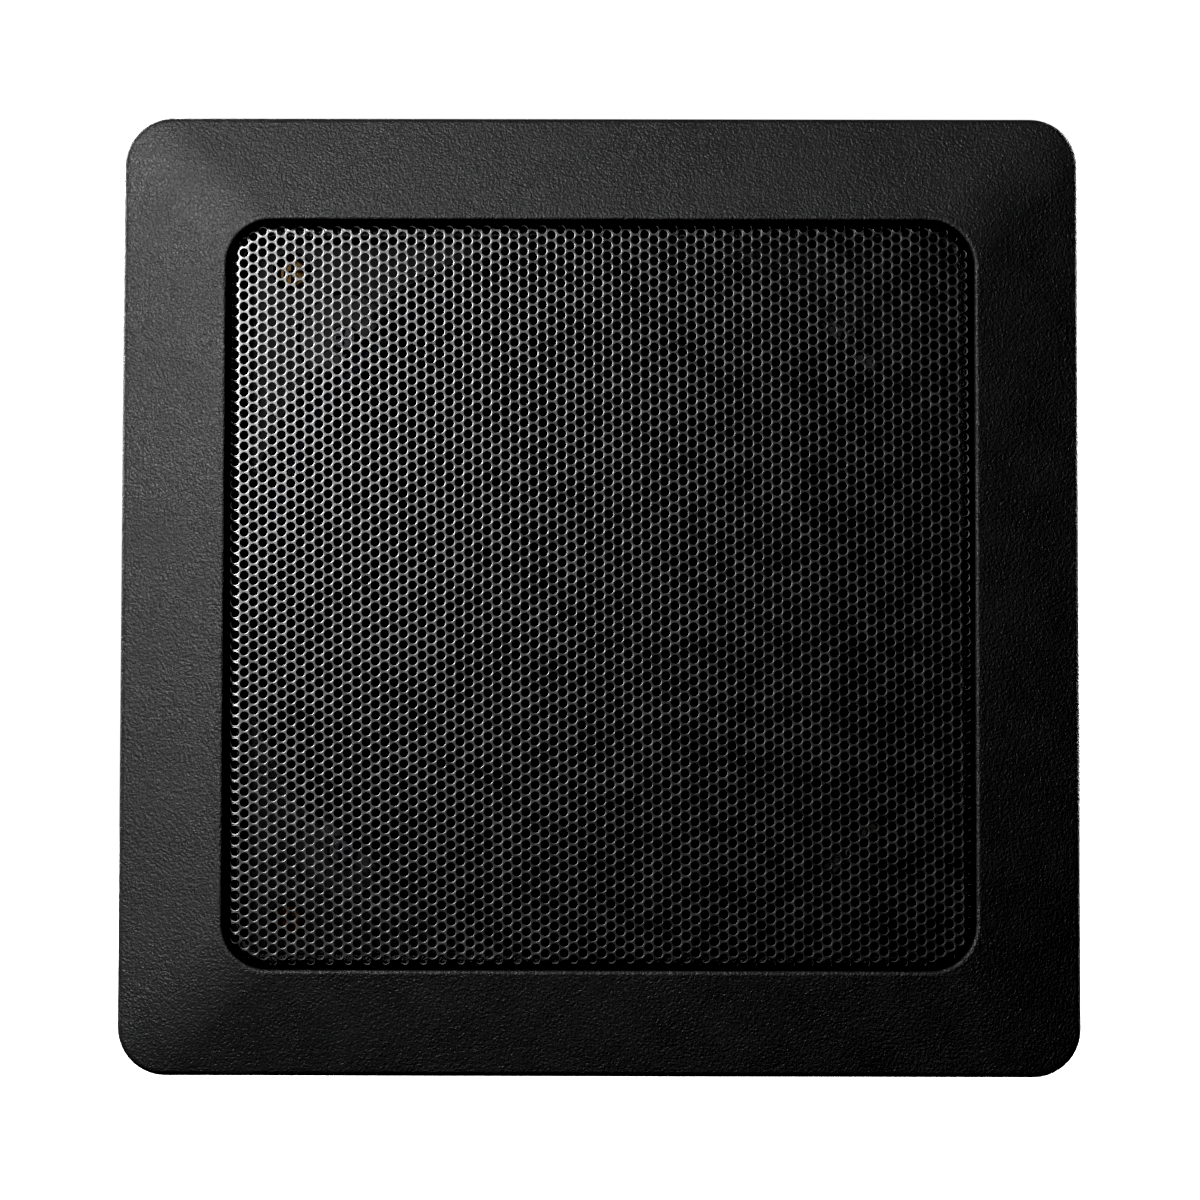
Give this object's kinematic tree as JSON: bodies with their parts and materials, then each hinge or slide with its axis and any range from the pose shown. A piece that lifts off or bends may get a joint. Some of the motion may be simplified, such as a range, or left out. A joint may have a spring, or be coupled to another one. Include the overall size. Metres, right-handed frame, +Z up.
{
  "type": "square flush-mount loudspeaker",
  "caption": "Square flush-mount loudspeaker: moulded frame, perforated steel grille, cone driver, swing-out clamps and spring terminals.",
  "frame": {"origin": "centre of the flange's rear face, on the panel's surface", "axes": "-Y is the listening side, +Y goes into the wall, +Z is up, +X is to the right seen from the front"},
  "size_m": [0.224, 0.068, 0.224],
  "materials": {
    "moulded_black": "fine moulded grain, matte black ABS",
    "grille_black": "satin black powder coat",
    "foam": "dull black foam",
    "basket_steel": "black electrocoat",
    "rubber": "smooth black butyl",
    "paper_cone": "pressed black paper pulp, treated",
    "former": "thin aluminium",
    "copper": "enamelled copper",
    "spider_cloth": "resin-dipped cotton",
    "zinc_plate": "bright zinc",
    "ferrite": "ground ferrite",
    "black_screw": "black zinc",
    "yellow_zinc": "yellow chromate zinc",
    "spring_steel": "plain spring steel",
    "brass": "turned brass",
    "nylon": "black glass-filled nylon",
    "tinned_brass": "tinned brass",
    "phenolic": "brown phenolic board",
    "sleeve": "clear-grey vinyl sleeve",
    "wire_black": "black vinyl",
    "wire_red": "red vinyl",
    "lever_black": "black ABS",
    "lever_red": "red ABS"
  },
  "bodies": {
    "frame": {"front_frame": "moulded_black", "driver_gasket": "foam", "basket": "basket_steel", "surround": "rubber", "gasket_segments": "foam", "spider": "spider_cloth", "top_plate": "zinc_plate", "magnet": "ferrite", "yoke": "zinc_plate", "driver_screws": "black_screw", "terminal_block": "moulded_black", "terminal_contacts": "tinned_brass", "terminal_screws": "yellow_zinc", "tag_board": "phenolic", "tag_rivet": "tinned_brass", "driver_tags": "tinned_brass", "lead_sleeves": "sleeve", "lead_black": "wire_black", "lead_red": "wire_red", "tinsel_leads": "copper"},
    "grille": {"grille": "grille_black"},
    "cone_assembly": {"cone": "paper_cone", "dust_cap": "paper_cone", "coil_former": "former", "voice_coil": "copper"},
    "lever_black": {"terminal_lever_black": "lever_black"},
    "lever_red": {"terminal_lever_red": "lever_red"},
    "clamp_screw_top_right": {"clamp_screw_top_right": "yellow_zinc", "clamp_retainer_top_right": "spring_steel"},
    "clamp_bush_top_right": {"clamp_bush_top_right": "brass"},
    "clamp_arm_top_right": {"clamp_arm_top_right": "nylon"},
    "clamp_screw_top_left": {"clamp_screw_top_left": "yellow_zinc", "clamp_retainer_top_left": "spring_steel"},
    "clamp_bush_top_left": {"clamp_bush_top_left": "brass"},
    "clamp_arm_top_left": {"clamp_arm_top_left": "nylon"},
    "clamp_screw_bottom_left": {"clamp_screw_bottom_left": "yellow_zinc", "clamp_retainer_bottom_left": "spring_steel"},
    "clamp_bush_bottom_left": {"clamp_bush_bottom_left": "brass"},
    "clamp_arm_bottom_left": {"clamp_arm_bottom_left": "nylon"},
    "clamp_screw_bottom_right": {"clamp_screw_bottom_right": "yellow_zinc", "clamp_retainer_bottom_right": "spring_steel"},
    "clamp_bush_bottom_right": {"clamp_bush_bottom_right": "brass"},
    "clamp_arm_bottom_right": {"clamp_arm_bottom_right": "nylon"}
  },
  "joints": [
    {"name": "grille_pull", "type": "slide", "parent": "frame", "child": "grille", "axis": [0, -1, 0], "range_m": [0, 0.012]},
    {"name": "cone_travel", "type": "slide", "parent": "frame", "child": "cone_assembly", "axis": [0, -1, 0], "range_m": [-0.0035, 0.0035], "stiffness_N_per_m": 1400, "deforming": ["surround", "spider", "tinsel_leads"]},
    {"name": "clamp_screw_turn_top_right", "type": "hinge", "parent": "frame", "child": "clamp_screw_top_right", "pos_m": [0.0728, 0.04, 0.0763], "axis": [0, 1, 0], "range_deg": [0, 7457.14]},
    {"name": "clamp_travel_top_right", "type": "slide", "parent": "frame", "child": "clamp_bush_top_right", "axis": [0, -1, 0], "range_m": [0, 0.029]},
    {"name": "clamp_swing_top_right", "type": "hinge", "parent": "clamp_bush_top_right", "child": "clamp_arm_top_right", "pos_m": [0.0728, 0.04, 0.0763], "axis": [0, 1, 0], "range_deg": [0, 90]},
    {"name": "clamp_screw_turn_top_left", "type": "hinge", "parent": "frame", "child": "clamp_screw_top_left", "pos_m": [-0.0728, 0.04, 0.0763], "axis": [0, 1, 0], "range_deg": [0, 7457.14]},
    {"name": "clamp_travel_top_left", "type": "slide", "parent": "frame", "child": "clamp_bush_top_left", "axis": [0, -1, 0], "range_m": [0, 0.029]},
    {"name": "clamp_swing_top_left", "type": "hinge", "parent": "clamp_bush_top_left", "child": "clamp_arm_top_left", "pos_m": [-0.0728, 0.04, 0.0763], "axis": [0, 1, 0], "range_deg": [0, 90]},
    {"name": "clamp_screw_turn_bottom_left", "type": "hinge", "parent": "frame", "child": "clamp_screw_bottom_left", "pos_m": [-0.0728, 0.04, -0.0763], "axis": [0, 1, 0], "range_deg": [0, 7457.14]},
    {"name": "clamp_travel_bottom_left", "type": "slide", "parent": "frame", "child": "clamp_bush_bottom_left", "axis": [0, -1, 0], "range_m": [0, 0.029]},
    {"name": "clamp_swing_bottom_left", "type": "hinge", "parent": "clamp_bush_bottom_left", "child": "clamp_arm_bottom_left", "pos_m": [-0.0728, 0.04, -0.0763], "axis": [0, 1, 0], "range_deg": [0, 90]},
    {"name": "clamp_screw_turn_bottom_right", "type": "hinge", "parent": "frame", "child": "clamp_screw_bottom_right", "pos_m": [0.0728, 0.04, -0.0763], "axis": [0, 1, 0], "range_deg": [0, 7457.14]},
    {"name": "clamp_travel_bottom_right", "type": "slide", "parent": "frame", "child": "clamp_bush_bottom_right", "axis": [0, -1, 0], "range_m": [0, 0.029]},
    {"name": "clamp_swing_bottom_right", "type": "hinge", "parent": "clamp_bush_bottom_right", "child": "clamp_arm_bottom_right", "pos_m": [0.0728, 0.04, -0.0763], "axis": [0, 1, 0], "range_deg": [0, 90]},
    {"name": "lever_press_black", "type": "hinge", "parent": "frame", "child": "lever_black", "pos_m": [-0.008, 0.0332, -0.0762], "axis": [-1, 0, 0], "range_deg": [0, 12], "stiffness_Nm_per_rad": 0.02},
    {"name": "lever_press_red", "type": "hinge", "parent": "frame", "child": "lever_red", "pos_m": [0.008, 0.0332, -0.0762], "axis": [-1, 0, 0], "range_deg": [0, 12], "stiffness_Nm_per_rad": 0.02}
  ],
  "couplings": [
    {"joint": "clamp_screw_turn_top_right", "follows": "clamp_travel_top_right", "rad_per_m": 4487.9},
    {"joint": "clamp_screw_turn_top_left", "follows": "clamp_travel_top_left", "rad_per_m": 4487.9},
    {"joint": "clamp_screw_turn_bottom_left", "follows": "clamp_travel_bottom_left", "rad_per_m": 4487.9},
    {"joint": "clamp_screw_turn_bottom_right", "follows": "clamp_travel_bottom_right", "rad_per_m": 4487.9}
  ]
}
